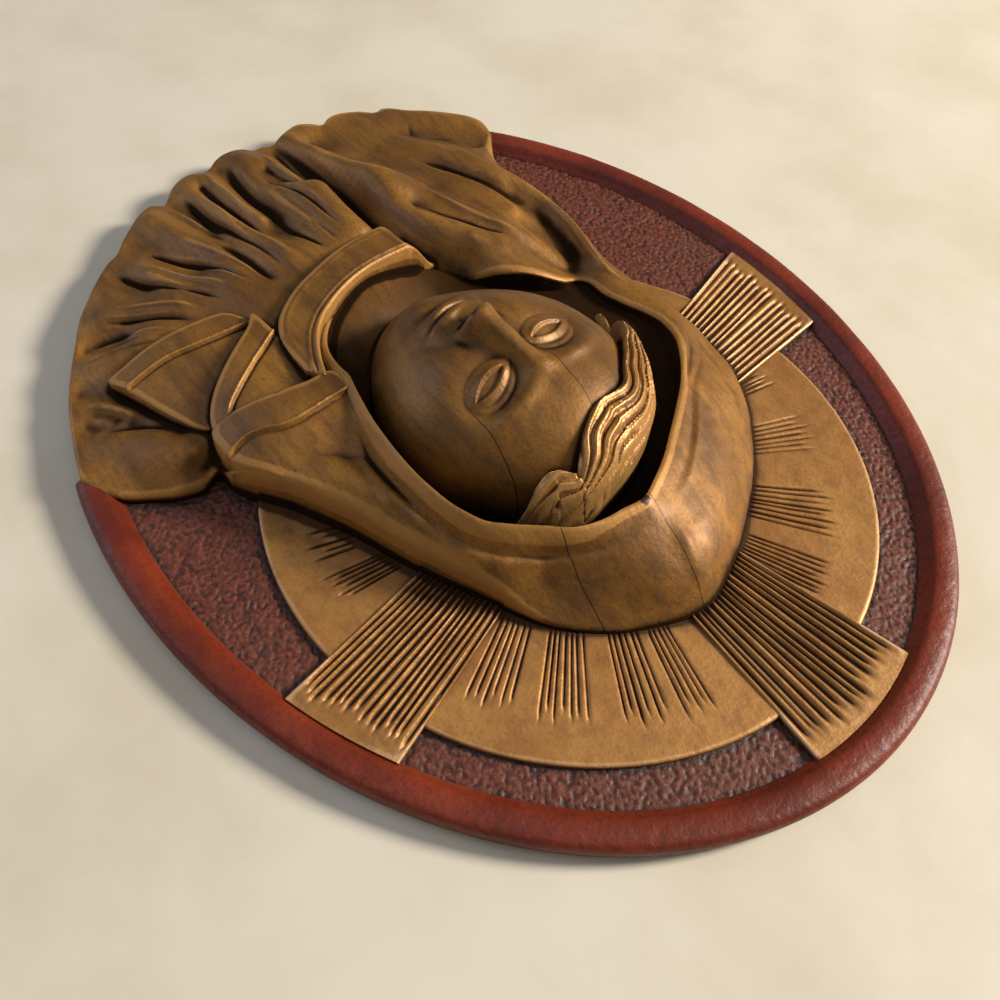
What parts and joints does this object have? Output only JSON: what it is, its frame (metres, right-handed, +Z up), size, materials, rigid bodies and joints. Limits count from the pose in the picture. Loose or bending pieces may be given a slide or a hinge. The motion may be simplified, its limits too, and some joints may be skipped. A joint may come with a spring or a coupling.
{
  "type": "religious wall plaque",
  "caption": "Oval carved wood wall plaque: veiled head and shoulders in high relief before a cross halo with incised rays, inside a raised painted rim",
  "frame": {"origin": "centre of the oval on the flat back, where the plaque lies on the wall", "axes": "+X to the viewer's right, +Z up along the plaque as hung, +Y into the wall; the carving faces -Y"},
  "size_m": [0.26, 0.0544, 0.3199],
  "materials": {
    "gilded_wood": "bronze-gold paint on carved wood, dark patina in the recesses, red-brown painted rim and punched ground"
  },
  "bodies": {
    "root": {"carved_plaque": "gilded_wood"}
  },
  "joints": []
}
